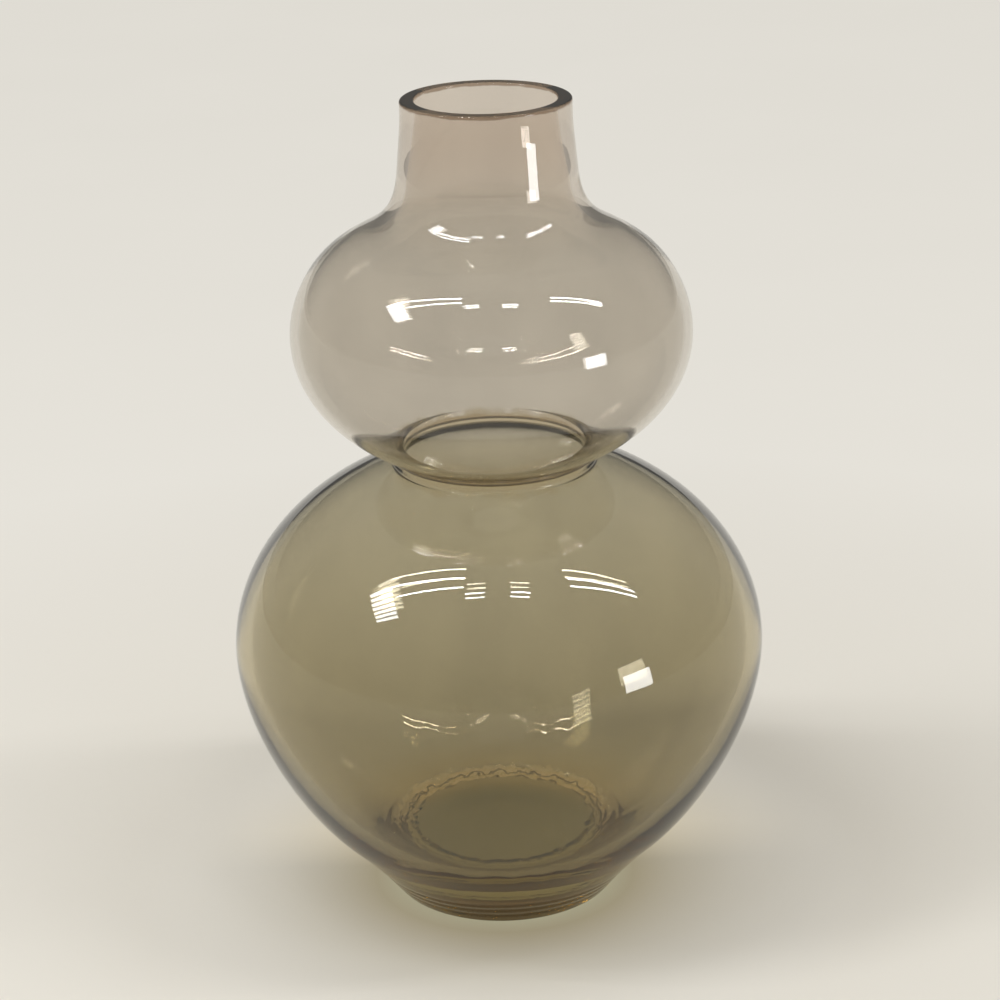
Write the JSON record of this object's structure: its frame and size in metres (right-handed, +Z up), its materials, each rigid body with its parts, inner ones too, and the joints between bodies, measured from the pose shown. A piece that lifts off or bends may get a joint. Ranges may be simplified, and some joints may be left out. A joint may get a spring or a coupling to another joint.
{
  "type": "gourd vase",
  "caption": "Double-gourd flower vase of tinted clear glass: a pale upper bulb with a short cut neck, bonded at a narrow open waist to a larger amber bowl on a thick foot.",
  "frame": {"origin": "middle of the foot, on the surface the vase stands on", "axes": "+Z up along the axis that both vessels are turned about, towards the mouth"},
  "size_m": [0.182, 0.182, 0.28],
  "materials": {
    "rose_grey_glass": "polished",
    "amber_glass": "polished",
    "clear_adhesive": "clear"
  },
  "bodies": {
    "root": {"upper_bulb": "rose_grey_glass", "lower_bulb": "amber_glass", "waist_bond": "clear_adhesive"}
  },
  "joints": []
}
